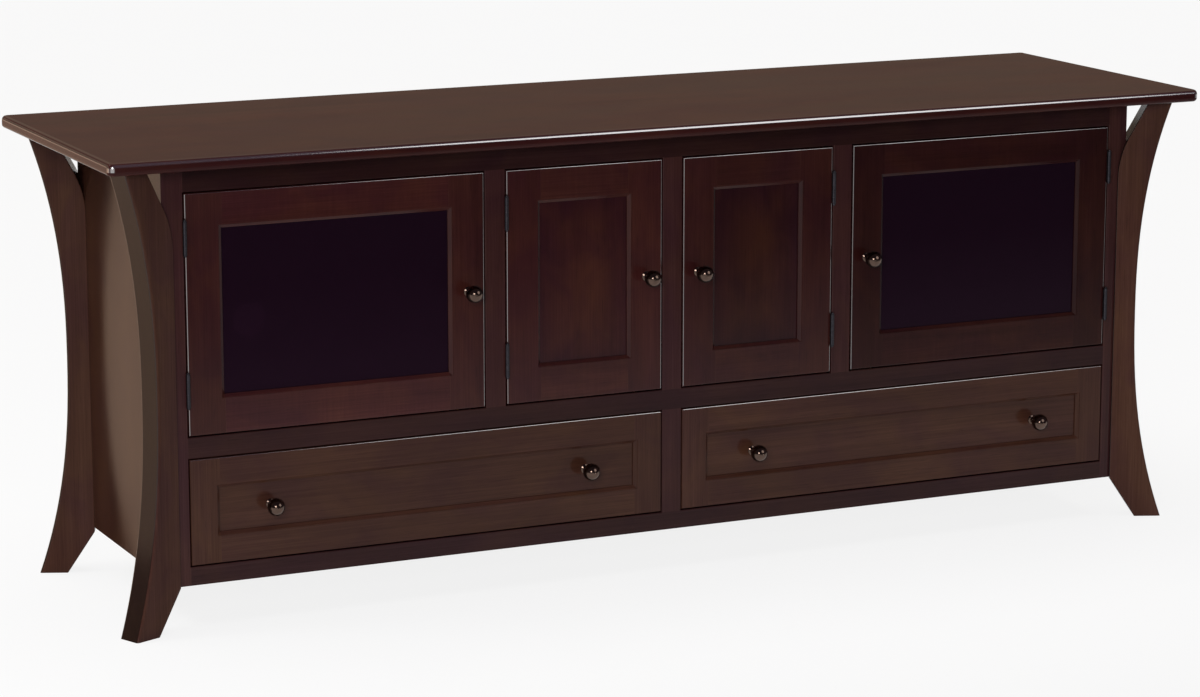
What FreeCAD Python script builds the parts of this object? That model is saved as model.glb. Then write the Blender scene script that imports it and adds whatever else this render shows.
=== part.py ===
import FreeCAD
import Part
import math
import os

from FreeCAD import Vector

# A long low media stand: two glass doors and two panel doors over two drawers, under an
# overhanging top, on four curved corner legs. Millimetres, +Z up, front towards -Y,
# origin on the floor under the middle of the top.

# Driving dimensions: overall size
TOP_WIDTH = 1930.0
TOP_DEPTH = 572.0
HEIGHT = 749.0
TOP_THICK = 20.5
FRONT_OVERHANG = 66.0
BACK_OVERHANG = 84.0

# Driving dimensions: the top's rounded edge, and its corners in plan
TOP_UPPER_ROUND = 7.5
TOP_LOWER_ROUND = 6.5
TOP_CORNER_ROUND = 10.0

# Driving dimensions: case and face frame
CASE_HALF_WIDTH = 863.5
CASE_BOTTOM = 70.0
SIDE_LIFT = 7.0
BOARD = 19.0
BACK_THICK = 8.0
BOTTOM_LIFT = 6.0
FACE_MEMBER = 34.5
MULLION_X = 312.4
BOTTOM_RAIL = 29.5
DRAWER_OPENING = 172.0
MID_RAIL = 33.5
DOOR_OPENING = 382.0
FACE_EDGE_BEVEL = 1.0
STRETCHER_DEPTH = 80.0
CABLE_HOLE_RADIUS = 30.0
CABLE_HOLE_RISE = 90.0

# Driving dimensions: doors and drawer fronts
GAP = 2.0
FRONT_THICK = 20.0
FRONT_ROUND = 2.0
DOOR_STILE = 60.0
DOOR_TOP_RAIL = 57.0
DOOR_BOTTOM_RAIL = 61.0
DRAWER_FRAME = 48.5
STICK_STEP = 0.8
STICK_WIDTH = 5.0
STICK_DEPTH = 4.5
PANEL_SET_BACK = 7.5
PANEL_THICK = 6.0
PANEL_TONGUE = 8.0
PANEL_PLAY = 0.5
GLASS_THICK = 4.0
GLASS_REBATE = 9.0

# Driving dimensions: legs
LEG_TURN = 22.8
LEG_THICK = 41.5
LEG_WAIST = 37.5
LEG_WAIST_X = 881.0
LEG_PROUD = 18.3
LEG_FLARE = 54.0
LEG_FLARE_POWER = 2.4
LEG_FLARE_POINTS = 15
LEG_TOP_WIDTH = 40.5
LEG_FOOT_WIDTH = 46.0
LEG_SHOULDER_Z = 633.0
LEG_SHOULDER_ROUND = 150.0
LEG_HEEL_Z = 69.0
LEG_HEEL_ROUND = 6.0
LEG_OUTER_ROUND = 4.0
LEG_INNER_ROUND = 1.5

# Driving dimensions: hinges
HINGE_LENGTH = 50.8
HINGE_FROM_TOP = 68.0
HINGE_FROM_BOTTOM = 72.0
KNUCKLES = 5
KNUCKLE_GAP = 0.3
BARREL_RADIUS = 3.2
BARREL_PROUD = 0.3
PIN_RADIUS = 1.5
PIN_PLAY = 0.05
FINIAL_RADIUS = 2.3
FINIAL_RISE = 4.3
COLLAR_RADIUS = 3.4
COLLAR_THICK = 0.9
LEAF_THICK = 1.5
LEAF_DEPTH = 18.0
LEAF_TO_LEAF = 0.5

# Driving dimensions: knobs, shelves, pins and catches
KNOB_RADIUS = 14.0
KNOB_CENTRE = 25.0
KNOB_BASE_RADIUS = 8.0
KNOB_BASE_THICK = 3.0
KNOB_BASE_TOP_RADIUS = 5.6
KNOB_NECK_RADIUS = 4.6
KNOB_WAIST_RADIUS = 4.0
KNOB_FROM_EDGE = 27.5
DRAWER_KNOB_REACH = 270.5
SHELF_TOP = 514.0
SHELF_SET_BACK = 40.0
SHELF_PLAY = 1.5
SHELF_PIN_RADIUS = 2.5
SHELF_PIN_IN = 8.0
SHELF_PIN_OUT = 10.0
SHELF_PIN_INSET = 50.0
CATCH_RADIUS = 4.0
CATCH_LENGTH = 14.0
CATCH_BALL_RADIUS = 3.0
CATCH_BALL_RISE = 1.4
CATCH_FROM_EDGE = 45.0
DRILL_PLAY = 0.02
CUT_OVER = 1.0

# Driving dimensions: drawer boxes and slides
SLIDE_THICK = 12.7
SLIDE_LENGTH = 390.0
SLIDE_HEIGHT = 45.6
SLIDE_WALL = 1.2
SLIDE_START = 1.0
CABINET_MEMBER = (0.0, 9.0)
MIDDLE_MEMBER = (2.0, 10.5)
DRAWER_MEMBER = (5.0, SLIDE_THICK)
BALL_SPACE = 3.0
DRAWER_WALL = 13.0
DRAWER_BOX_HEIGHT = 140.0
DRAWER_BOX_LENGTH = 388.0
DRAWER_BOTTOM_THICK = 6.0
DRAWER_BOTTOM_RISE = 12.0

# Planes that follow from the driving dimensions
UNDERSIDE = HEIGHT - TOP_THICK
FRONT = -TOP_DEPTH / 2 + FRONT_OVERHANG
BACK = TOP_DEPTH / 2 - BACK_OVERHANG
FACE_BACK = FRONT + BOARD
BACK_INNER = BACK - BACK_THICK
SIDE_INNER = CASE_HALF_WIDTH - BOARD
OPENING_EDGE = CASE_HALF_WIDTH - FACE_MEMBER
MULLION_HALF = FACE_MEMBER / 2
DRAWER_Z0 = CASE_BOTTOM + BOTTOM_RAIL
DRAWER_Z1 = DRAWER_Z0 + DRAWER_OPENING
DOOR_Z0 = DRAWER_Z1 + MID_RAIL
DOOR_Z1 = DOOR_Z0 + DOOR_OPENING
STRETCHER_Z = UNDERSIDE - BOARD
BOTTOM_Z = CASE_BOTTOM + BOTTOM_LIFT
SIDE_BOTTOM = CASE_BOTTOM + SIDE_LIFT
PIN_AXIS_Y = FRONT - BARREL_RADIUS - BARREL_PROUD
LEG_MID_Y = (FRONT + BACK) / 2
SLIDE_Y0 = FACE_BACK + SLIDE_START
SLIDE_Y1 = SLIDE_Y0 + SLIDE_LENGTH
SLIDE_Z = (DRAWER_Z0 + DRAWER_Z1) / 2

# Face-frame openings as (low x, high x): the doors from left to right, then the drawers
DOOR_BAYS = {
    "glass_door_left": (-OPENING_EDGE, -MULLION_X - MULLION_HALF),
    "panel_door_left": (-MULLION_X + MULLION_HALF, -MULLION_HALF),
    "panel_door_right": (MULLION_HALF, MULLION_X - MULLION_HALF),
    "glass_door_right": (MULLION_X + MULLION_HALF, OPENING_EDGE),
}
DRAWER_BAYS = {
    "drawer_left": (-OPENING_EDGE, -MULLION_HALF),
    "drawer_right": (MULLION_HALF, OPENING_EDGE),
}
SHELF_BAYS = {
    "left": (-SIDE_INNER, -MULLION_X - BOARD / 2),
    "centre": (-MULLION_X + BOARD / 2, MULLION_X - BOARD / 2),
    "right": (MULLION_X + BOARD / 2, SIDE_INNER),
}


def block(x0, x1, y0, y1, z0, z1):
    """Box between two corners."""
    return Part.makeBox(x1 - x0, y1 - y0, z1 - z0, Vector(x0, y0, z0))


def rod(radius, length, base, axis):
    """Round bar from base along axis."""
    return Part.makeCylinder(radius, length, base, axis)


def bevel_cutter(x0, x1, z0, z1, y, grow, depth):
    """Tapered block that bevels an opening: larger by grow at the front plane y, exact at y + depth."""
    return Part.makeWedge(x0 - grow, y, z0 - grow, z0, x0, x1 + grow, y + depth, z1 + grow, z1, x1)


def edges_on(shape, test):
    """The edges whose ends and middle all pass a test on a point."""
    found = []
    for edge in shape.Edges:
        points = [vertex.Point for vertex in edge.Vertexes]
        points.append(edge.valueAt((edge.FirstParameter + edge.LastParameter) / 2))
        if all(test(point) for point in points):
            found.append(edge)
    return found


def close(a, b):
    """True when two lengths agree to a hundredth of a millimetre."""
    return abs(a - b) < 0.01


def mirror_x(shape):
    """The same piece on the other side of the stand."""
    return shape.mirror(Vector(0, 0, 0), Vector(1, 0, 0))


# Top


def top_panel():
    """Overhanging top, rounded at its corners in plan and along its upper and lower edge."""
    half_x, half_y = TOP_WIDTH / 2, TOP_DEPTH / 2
    slab = block(-half_x, half_x, -half_y, half_y, UNDERSIDE, HEIGHT)
    uprights = [edge for edge in slab.Edges if not close(edge.Vertexes[0].Z, edge.Vertexes[-1].Z)]
    slab = slab.makeFillet(TOP_CORNER_ROUND, uprights)
    slab = slab.makeFillet(TOP_UPPER_ROUND, edges_on(slab, lambda p: close(p.z, HEIGHT)))
    return slab.makeFillet(TOP_LOWER_ROUND, edges_on(slab, lambda p: close(p.z, UNDERSIDE)))


# Legs


def rounded_corner(before, corner, after, radius):
    """Tangent arc at a corner of an outline, as (first point, middle point, last point)."""
    to_before = (before - corner).normalize()
    to_after = (after - corner).normalize()
    half_angle = to_before.getAngle(to_after) / 2
    reach = radius / math.tan(half_angle)
    bisector = (to_before + to_after).normalize()
    centre_distance = radius / math.sin(half_angle)
    middle = corner + bisector * (centre_distance - radius)
    return corner + to_before * reach, middle, corner + to_after * reach


def leg_outline():
    """Leg outline in its own plane: x outward from the waist's outer edge, z up."""
    flare = []
    for i in range(LEG_FLARE_POINTS):
        from_waist = 2 * i / (LEG_FLARE_POINTS - 1) - 1
        out = LEG_FLARE * abs(from_waist) ** LEG_FLARE_POWER
        flare.append(Vector(out, 0, UNDERSIDE * (1 + from_waist) / 2))
    outer_edge = Part.BSplineCurve()
    outer_edge.interpolate(flare)
    top_in = Vector(LEG_FLARE - LEG_TOP_WIDTH, 0, UNDERSIDE)
    shoulder = Vector(-LEG_WAIST, 0, LEG_SHOULDER_Z)
    heel = Vector(-LEG_WAIST, 0, LEG_HEEL_Z)
    foot_in = Vector(LEG_FLARE - LEG_FOOT_WIDTH, 0, 0)
    bends = [
        rounded_corner(top_in, shoulder, heel, LEG_SHOULDER_ROUND),
        rounded_corner(shoulder, heel, foot_in, LEG_HEEL_ROUND),
    ]
    edges = [outer_edge.toShape()]
    edges.append(Part.LineSegment(flare[-1], top_in).toShape())
    last = top_in
    for first, middle, end in bends:
        edges.append(Part.LineSegment(last, first).toShape())
        edges.append(Part.Arc(first, middle, end).toShape())
        last = end
    edges.append(Part.LineSegment(last, foot_in).toShape())
    edges.append(Part.LineSegment(foot_in, flare[0]).toShape())
    return Part.Wire(edges)


def broad_edges(board):
    """Long edges of a leg's two broad faces, without those on the floor and under the top."""
    found = []
    for edge in board.Edges:
        middle = edge.valueAt((edge.FirstParameter + edge.LastParameter) / 2)
        on_face = close(middle.y, 0) or close(middle.y, LEG_THICK)
        if on_face and not close(middle.z, 0) and not close(middle.z, UNDERSIDE):
            found.append(edge)
    return found


def front_right_leg():
    """Curved board with eased edges, turned about the vertical and set at the front right corner."""
    board = Part.Face(leg_outline()).extrude(Vector(0, LEG_THICK, 0))
    flare = [edge for edge in broad_edges(board) if edge.Length > UNDERSIDE]
    board = board.makeFillet(LEG_OUTER_ROUND, flare)
    inner = [edge for edge in broad_edges(board) if edge.Length < UNDERSIDE]
    board = board.makeFillet(LEG_INNER_ROUND, inner)
    board.rotate(Vector(0, 0, 0), Vector(0, 0, 1), -LEG_TURN)
    board.translate(Vector(LEG_WAIST_X, FRONT - LEG_PROUD, 0))
    return board


def legs():
    """The four legs, cut to sit over the case corners."""
    face = block(-CASE_HALF_WIDTH, CASE_HALF_WIDTH, FRONT, FACE_BACK, CASE_BOTTOM, UNDERSIDE)
    case = block(-CASE_HALF_WIDTH, CASE_HALF_WIDTH, FACE_BACK, BACK, SIDE_BOTTOM, UNDERSIDE)
    front_right = front_right_leg()
    rear_right = front_right.mirror(Vector(0, LEG_MID_Y, 0), Vector(0, 1, 0))
    made = {}
    for name, board in (("front", front_right), ("rear", rear_right)):
        fitted = board.cut([face, case])
        made["leg_%s_right" % name] = fitted
        made["leg_%s_left" % name] = mirror_x(fitted)
    return made


# Case


def shelf_pin_places():
    """(x of the wall face, direction into the bay, y) of every shelf pin."""
    front_y = FACE_BACK + SHELF_SET_BACK + SHELF_PIN_INSET
    back_y = BACK_INNER - SHELF_PIN_INSET
    places = []
    for x0, x1 in SHELF_BAYS.values():
        for y in (front_y, back_y):
            places.append((x0, 1, y))
            places.append((x1, -1, y))
    return places


def shelf_pins(play):
    """Round pins let into the bay walls, flush below the shelves."""
    z = SHELF_TOP - BOARD - SHELF_PIN_RADIUS
    pins = []
    for x, way, y in shelf_pin_places():
        start = Vector(x - way * SHELF_PIN_IN, y, z)
        pins.append(rod(SHELF_PIN_RADIUS + play, SHELF_PIN_IN + SHELF_PIN_OUT, start, Vector(way, 0, 0)))
    return pins


def shelves():
    """Adjustable shelves, set back behind the doors."""
    made = {}
    for name, (x0, x1) in SHELF_BAYS.items():
        made[name] = block(
            x0 + SHELF_PLAY,
            x1 - SHELF_PLAY,
            FACE_BACK + SHELF_SET_BACK,
            BACK_INNER - SHELF_PLAY,
            SHELF_TOP - BOARD,
            SHELF_TOP,
        )
    return made


def case_boards():
    """Sides, floors, partitions, stretchers and the drilled back."""
    holes = shelf_pins(DRILL_PLAY)
    side = block(SIDE_INNER, CASE_HALF_WIDTH, FACE_BACK, BACK, SIDE_BOTTOM, UNDERSIDE)
    partition_x0, partition_x1 = MULLION_X - BOARD / 2, MULLION_X + BOARD / 2
    partition = block(partition_x0, partition_x1, FACE_BACK, BACK_INNER, DOOR_Z0, STRETCHER_Z)
    stretchers = [
        block(-SIDE_INNER, SIDE_INNER, y0, y0 + STRETCHER_DEPTH, STRETCHER_Z, UNDERSIDE)
        for y0 in (FACE_BACK, BACK_INNER - STRETCHER_DEPTH)
    ]
    backs = []
    seams = (-SIDE_INNER, -MULLION_X, MULLION_X, SIDE_INNER)
    for x0, x1 in zip(seams[:-1], seams[1:]):
        board = block(x0, x1, BACK_INNER, BACK, BOTTOM_Z, UNDERSIDE)
        centre = Vector((x0 + x1) / 2, BACK_INNER - CUT_OVER, DOOR_Z0 + CABLE_HOLE_RISE)
        hole = rod(CABLE_HOLE_RADIUS, BACK_THICK + 2 * CUT_OVER, centre, Vector(0, 1, 0))
        backs.append(board.cut(hole))
    half = BOARD / 2
    return {
        "side_panel_right": [side.cut(holes)],
        "side_panel_left": [mirror_x(side).cut(holes)],
        "bottom_panel": [
            block(-SIDE_INNER, SIDE_INNER, FACE_BACK, BACK_INNER, BOTTOM_Z, BOTTOM_Z + BOARD)
        ],
        "deck_panel": [block(-SIDE_INNER, SIDE_INNER, FACE_BACK, BACK_INNER, DOOR_Z0 - BOARD, DOOR_Z0)],
        "bay_partitions": [partition.cut(holes), mirror_x(partition).cut(holes)],
        "drawer_partition": [
            block(-half, half, FACE_BACK, BACK_INNER, BOTTOM_Z + BOARD, DOOR_Z0 - BOARD)
        ],
        "top_stretchers": stretchers,
        "back_panels": backs,
        "shelf_pins": shelf_pins(0),
    }


# Face frame


def catch_places():
    """x of the catch under each door, near its free edge."""
    places = []
    for name, (x0, x1) in DOOR_BAYS.items():
        places.append(x1 - CATCH_FROM_EDGE if name.endswith("left") else x0 + CATCH_FROM_EDGE)
    return places


def bullet_catches():
    """Spring catches in the middle rail, each a sleeve with a ball that stands just above the rail."""
    y = (FRONT + FACE_BACK) / 2
    made = []
    for x in catch_places():
        sleeve = rod(CATCH_RADIUS, CATCH_LENGTH, Vector(x, y, DOOR_Z0 - CATCH_LENGTH), Vector(0, 0, 1))
        ball_z = DOOR_Z0 + CATCH_BALL_RISE - CATCH_BALL_RADIUS
        ball = Part.makeSphere(CATCH_BALL_RADIUS, Vector(x, y, ball_z))
        made.append(sleeve.fuse(ball))
    return made


def face_frame(mortises):
    """Rails, stiles and mullions, cut from one plate so that their front faces and bevels run through."""
    plate = block(-CASE_HALF_WIDTH, CASE_HALF_WIDTH, FRONT, FACE_BACK, CASE_BOTTOM, UNDERSIDE)
    cutters = list(mortises)
    spans = [(bay, DOOR_Z0, DOOR_Z1) for bay in DOOR_BAYS.values()]
    spans += [(bay, DRAWER_Z0, DRAWER_Z1) for bay in DRAWER_BAYS.values()]
    for (x0, x1), z0, z1 in spans:
        cutters.append(block(x0, x1, FRONT - CUT_OVER, FACE_BACK + CUT_OVER, z0, z1))
        cutters.append(bevel_cutter(x0, x1, z0, z1, FRONT, FACE_EDGE_BEVEL, FACE_EDGE_BEVEL))
    y = (FRONT + FACE_BACK) / 2
    for x in catch_places():
        base = Vector(x, y, DOOR_Z0 - CATCH_LENGTH)
        cutters.append(rod(CATCH_RADIUS + DRILL_PLAY, CATCH_LENGTH + CUT_OVER, base, Vector(0, 0, 1)))
    frame = plate.cut(cutters)

    def member(x0, x1, z0, z1):
        return frame.common(block(x0, x1, FRONT, FACE_BACK, z0, z1))

    edge, half = OPENING_EDGE, MULLION_HALF
    mullions = [member(x - half, x + half, DOOR_Z0, DOOR_Z1) for x in (-MULLION_X, 0, MULLION_X)]
    mullions.append(member(-half, half, DRAWER_Z0, DRAWER_Z1))
    return {
        "face_top_rail": [member(-edge, edge, DOOR_Z1, UNDERSIDE)],
        "face_mid_rail": [member(-edge, edge, DRAWER_Z1, DOOR_Z0)],
        "face_bottom_rail": [member(-edge, edge, CASE_BOTTOM, DRAWER_Z0)],
        "face_end_stiles": [
            member(-CASE_HALF_WIDTH, -edge, CASE_BOTTOM, UNDERSIDE),
            member(edge, CASE_HALF_WIDTH, CASE_BOTTOM, UNDERSIDE),
        ],
        "face_mullions": mullions,
    }


# Hinges


def hinge_side(door):
    """-1 when a door hangs on its left edge, +1 when it hangs on its right edge."""
    return -1 if door.endswith("left") else 1


def hinge_x(door):
    """x of a door's hinge pins: the middle of the gap beside its hinge edge."""
    x0, x1 = DOOR_BAYS[door]
    return x0 + GAP / 2 if hinge_side(door) < 0 else x1 - GAP / 2


def hinge_heights():
    """Lowest z of the two hinges of a door."""
    upper = DOOR_Z1 - GAP - HINGE_FROM_TOP - HINGE_LENGTH / 2
    lower = DOOR_Z0 + GAP + HINGE_FROM_BOTTOM - HINGE_LENGTH / 2
    return lower, upper


def leaf_plate(x, z, side):
    """Flat of a leaf, from just behind the barrel to its far edge, on one side of the gap's middle."""
    near = x + side * LEAF_TO_LEAF / 2
    far = near + side * LEAF_THICK
    y0 = PIN_AXIS_Y + BARREL_RADIUS + KNUCKLE_GAP
    return block(min(near, far), max(near, far), y0, y0 + LEAF_DEPTH, z, z + HINGE_LENGTH)


def hinge_leaf(x, z, side, first):
    """Leaf with every second knuckle, counted from first, bored for the pin."""
    pitch = HINGE_LENGTH / KNUCKLES
    plate = leaf_plate(x, z, side)
    near = x + side * LEAF_TO_LEAF / 2
    far = near + side * LEAF_THICK
    leaf = plate
    for i in range(first, KNUCKLES, 2):
        low = z + i * pitch + (KNUCKLE_GAP / 2 if i else 0)
        high = z + (i + 1) * pitch - (KNUCKLE_GAP / 2 if i < KNUCKLES - 1 else 0)
        base = Vector(x, PIN_AXIS_Y, low)
        barrel = rod(BARREL_RADIUS, high - low, base, Vector(0, 0, 1))
        web = block(min(near, far), max(near, far), PIN_AXIS_Y, plate.BoundBox.YMin, low, high)
        leaf = leaf.fuse([barrel, web])
    bore = rod(PIN_RADIUS + PIN_PLAY, HINGE_LENGTH, Vector(x, PIN_AXIS_Y, z), Vector(0, 0, 1))
    return leaf.cut(bore).removeSplitter()


def hinge_pin(x, z):
    """Pin with a collar and a ball finial at each end, resting on the end knuckles."""
    pin = rod(PIN_RADIUS, HINGE_LENGTH, Vector(x, PIN_AXIS_Y, z), Vector(0, 0, 1))
    reach = 2 * FINIAL_RADIUS
    for end, way in ((z, -1), (z + HINGE_LENGTH, 1)):
        ball_z = end + way * (FINIAL_RISE - FINIAL_RADIUS)
        ball = Part.makeSphere(FINIAL_RADIUS, Vector(x, PIN_AXIS_Y, ball_z))
        outside = sorted((end, end + way * reach))
        room = block(x - reach, x + reach, PIN_AXIS_Y - reach, PIN_AXIS_Y + reach, *outside)
        collar = rod(COLLAR_RADIUS, COLLAR_THICK, Vector(x, PIN_AXIS_Y, end), Vector(0, 0, way))
        pin = pin.fuse([collar, ball.common(room)])
    return pin.removeSplitter()


def hinges():
    """Fixed leaves and pins, the doors' leaves, and every leaf's recess as a cutter."""
    fixed, pins, recesses = [], [], []
    moving = {}
    for door in DOOR_BAYS:
        x, side = hinge_x(door), hinge_side(door)
        moving[door] = []
        for z in hinge_heights():
            fixed.append(hinge_leaf(x, z, side, 0))
            moving[door].append(hinge_leaf(x, z, -side, 1))
            pins.append(hinge_pin(x, z))
            recesses.append(leaf_plate(x, z, side))
            recesses.append(leaf_plate(x, z, -side))
    return fixed, pins, moving, recesses


# Knobs


def knob(x, y, z):
    """Turned ball knob on a waisted neck and a small base, pointing to the front from the plane y."""
    neck_top = KNOB_CENTRE - math.sqrt(KNOB_RADIUS**2 - KNOB_NECK_RADIUS**2)
    rim = Vector(KNOB_BASE_RADIUS, KNOB_BASE_THICK / 2, 0)
    base_top = Vector(KNOB_BASE_TOP_RADIUS, KNOB_BASE_THICK, 0)
    waist = Vector(KNOB_WAIST_RADIUS, (KNOB_BASE_THICK + neck_top) / 2, 0)
    ball_start = Vector(KNOB_NECK_RADIUS, neck_top, 0)
    ball_side = Vector(KNOB_RADIUS, KNOB_CENTRE, 0)
    ball_end = Vector(0, KNOB_CENTRE + KNOB_RADIUS, 0)
    centre = Vector(0, 0, 0)
    foot = Vector(KNOB_BASE_RADIUS, 0, 0)
    outline = Part.Wire(
        [
            Part.LineSegment(centre, foot).toShape(),
            Part.LineSegment(foot, rim).toShape(),
            Part.LineSegment(rim, base_top).toShape(),
            Part.Arc(base_top, waist, ball_start).toShape(),
            Part.Arc(ball_start, ball_side, ball_end).toShape(),
            Part.LineSegment(ball_end, centre).toShape(),
        ]
    )
    turned = Part.Face(outline).revolve(centre, Vector(0, 1, 0), 360)
    turned.rotate(centre, Vector(0, 0, 1), 180)
    turned.translate(Vector(x, y, z))
    return turned


# Doors and drawer fronts


def grown(opening, by, y0, y1):
    """Block over an opening, larger by a margin on every side."""
    x0, x1, z0, z1 = opening
    return block(x0 - by, x1 + by, y0, y1, z0 - by, z1 + by)


def framed_front(x0, x1, z0, z1, opening, housing, recesses):
    """Stiles and rails of a front: rounded outside, moulded inside, hollowed for what they hold."""
    ox0, ox1, oz0, oz1 = opening
    rear = FRONT + FRONT_THICK
    blank = block(x0, x1, FRONT, rear, z0, z1)
    blank = blank.makeFillet(FRONT_ROUND, edges_on(blank, lambda p: close(p.y, FRONT)))
    cutters = [
        block(ox0, ox1, FRONT - CUT_OVER, rear + CUT_OVER, oz0, oz1),
        grown(opening, STICK_WIDTH + STICK_STEP, FRONT - CUT_OVER, FRONT + STICK_STEP),
        bevel_cutter(ox0, ox1, oz0, oz1, FRONT + STICK_STEP, STICK_WIDTH, STICK_DEPTH),
        housing,
    ]
    ring = blank.cut(cutters + recesses)

    def member(a0, a1, c0, c1):
        return ring.common(block(a0, a1, FRONT, rear, c0, c1))

    stiles = [member(x0, ox0, z0, z1), member(ox1, x1, z0, z1)]
    rails = [member(ox0, ox1, z0, oz0), member(ox0, ox1, oz1, z1)]
    return stiles, rails


def door(name, leaves, recesses):
    """One door: stiles, rails, glass with stops or a flat panel, knob and hinge leaves."""
    bay_x0, bay_x1 = DOOR_BAYS[name]
    x0, x1, z0, z1 = bay_x0 + GAP, bay_x1 - GAP, DOOR_Z0 + GAP, DOOR_Z1 - GAP
    opening = (x0 + DOOR_STILE, x1 - DOOR_STILE, z0 + DOOR_BOTTOM_RAIL, z1 - DOOR_TOP_RAIL)
    seat = FRONT + PANEL_SET_BACK
    rear = FRONT + FRONT_THICK
    made = {}
    if name.startswith("glass"):
        housing = grown(opening, GLASS_REBATE, seat, rear + CUT_OVER)
        glass_rear = seat + GLASS_THICK
        made["glass"] = [grown(opening, GLASS_REBATE - PANEL_PLAY, seat, glass_rear)]
        ox0, ox1, oz0, oz1 = opening
        rebate = GLASS_REBATE
        made["glass_stops"] = [
            block(ox0 - rebate, ox0, glass_rear, rear, oz0 - rebate, oz1 + rebate),
            block(ox1, ox1 + rebate, glass_rear, rear, oz0 - rebate, oz1 + rebate),
            block(ox0, ox1, glass_rear, rear, oz0 - rebate, oz0),
            block(ox0, ox1, glass_rear, rear, oz1, oz1 + rebate),
        ]
    else:
        housing = grown(opening, PANEL_TONGUE, seat, seat + PANEL_THICK)
        made["panel"] = [grown(opening, PANEL_TONGUE - PANEL_PLAY, seat, seat + PANEL_THICK)]
    made["stiles"], made["rails"] = framed_front(x0, x1, z0, z1, opening, housing, recesses)
    knob_x = x1 - KNOB_FROM_EDGE if hinge_side(name) < 0 else x0 + KNOB_FROM_EDGE
    made["knob"] = [knob(knob_x, FRONT, (z0 + z1) / 2)]
    made["hinge_leaves"] = leaves
    return {"%s_%s" % (name, piece): solids for piece, solids in made.items()}


# Drawers and slides


def channel(face_x, way, reach, half_height, web_at_far):
    """Slide member: a web with two flanges, between two distances from the mounting face."""
    near, far = reach
    web_near = far - SLIDE_WALL if web_at_far else near
    walls = [
        (web_near, web_near + SLIDE_WALL, -half_height, half_height),
        (near, far, half_height - SLIDE_WALL, half_height),
        (near, far, -half_height, SLIDE_WALL - half_height),
    ]
    solids = []
    for t0, t1, low, high in walls:
        a, b = sorted((face_x + way * t0, face_x + way * t1))
        solids.append(block(a, b, SLIDE_Y0, SLIDE_Y1, SLIDE_Z + low, SLIDE_Z + high))
    return solids[0].fuse(solids[1:]).removeSplitter()


def slide(face_x, way):
    """Cabinet, middle and drawer member of one full-extension slide on the mounting face face_x."""
    cabinet_half = SLIDE_HEIGHT / 2
    middle_half = cabinet_half - SLIDE_WALL - BALL_SPACE
    drawer_half = middle_half - SLIDE_WALL - BALL_SPACE
    cabinet = channel(face_x, way, CABINET_MEMBER, cabinet_half, False)
    middle = channel(face_x, way, MIDDLE_MEMBER, middle_half, False)
    drawer = channel(face_x, way, DRAWER_MEMBER, drawer_half, True)
    return cabinet, middle, drawer


def drawer(name):
    """One drawer: framed front, box, knobs, and the members of its two slides."""
    bay_x0, bay_x1 = DRAWER_BAYS[name]
    x0, x1, z0, z1 = bay_x0 + GAP, bay_x1 - GAP, DRAWER_Z0 + GAP, DRAWER_Z1 - GAP
    inset = DRAWER_FRAME
    opening = (x0 + inset, x1 - inset, z0 + inset, z1 - inset)
    seat = FRONT + PANEL_SET_BACK
    groove = grown(opening, PANEL_TONGUE, seat, seat + PANEL_THICK)
    stiles, rails = framed_front(x0, x1, z0, z1, opening, groove, [])
    panel = grown(opening, PANEL_TONGUE - PANEL_PLAY, seat, seat + PANEL_THICK)

    side0, side1 = bay_x0 + SLIDE_THICK, bay_x1 - SLIDE_THICK
    y0 = FRONT + FRONT_THICK
    y1 = y0 + DRAWER_BOX_LENGTH
    low, high = SLIDE_Z - DRAWER_BOX_HEIGHT / 2, SLIDE_Z + DRAWER_BOX_HEIGHT / 2
    wall = DRAWER_WALL
    inner0, inner1 = side0 + wall, side1 - wall
    floor = low + DRAWER_BOTTOM_RISE
    box = [
        block(side0, inner0, y0, y1, low, high),
        block(inner1, side1, y0, y1, low, high),
        block(inner0, inner1, y0, y0 + wall, low, high),
        block(inner0, inner1, y1 - wall, y1, low, high),
        block(inner0, inner1, y0 + wall, y1 - wall, floor, floor + DRAWER_BOTTOM_THICK),
    ]
    middle_x = (x0 + x1) / 2
    knobs = [
        knob(middle_x + reach, seat, (opening[2] + opening[3]) / 2)
        for reach in (-DRAWER_KNOB_REACH, DRAWER_KNOB_REACH)
    ]
    left, right = slide(bay_x0, 1), slide(bay_x1, -1)
    hand = name.split("_")[1]
    made = {
        name + "_front_frame": stiles + rails,
        name + "_front_panel": [panel],
        name + "_box": box,
        name + "_knobs": knobs,
        name + "_slide_members": [left[2], right[2]],
        "slide_middle_members_" + hand: [left[1], right[1]],
    }
    return made, [left[0], right[0]]


def slide_spacers():
    """Packing strips that bring the slides level with the edges of the drawer openings."""
    z0, z1 = SLIDE_Z - SLIDE_HEIGHT / 2, SLIDE_Z + SLIDE_HEIGHT / 2
    outer = block(OPENING_EDGE, SIDE_INNER, SLIDE_Y0, SLIDE_Y1, z0, z1)
    inner = block(BOARD / 2, MULLION_HALF, SLIDE_Y0, SLIDE_Y1, z0, z1)
    return [outer, inner, mirror_x(outer), mirror_x(inner)]


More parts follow.
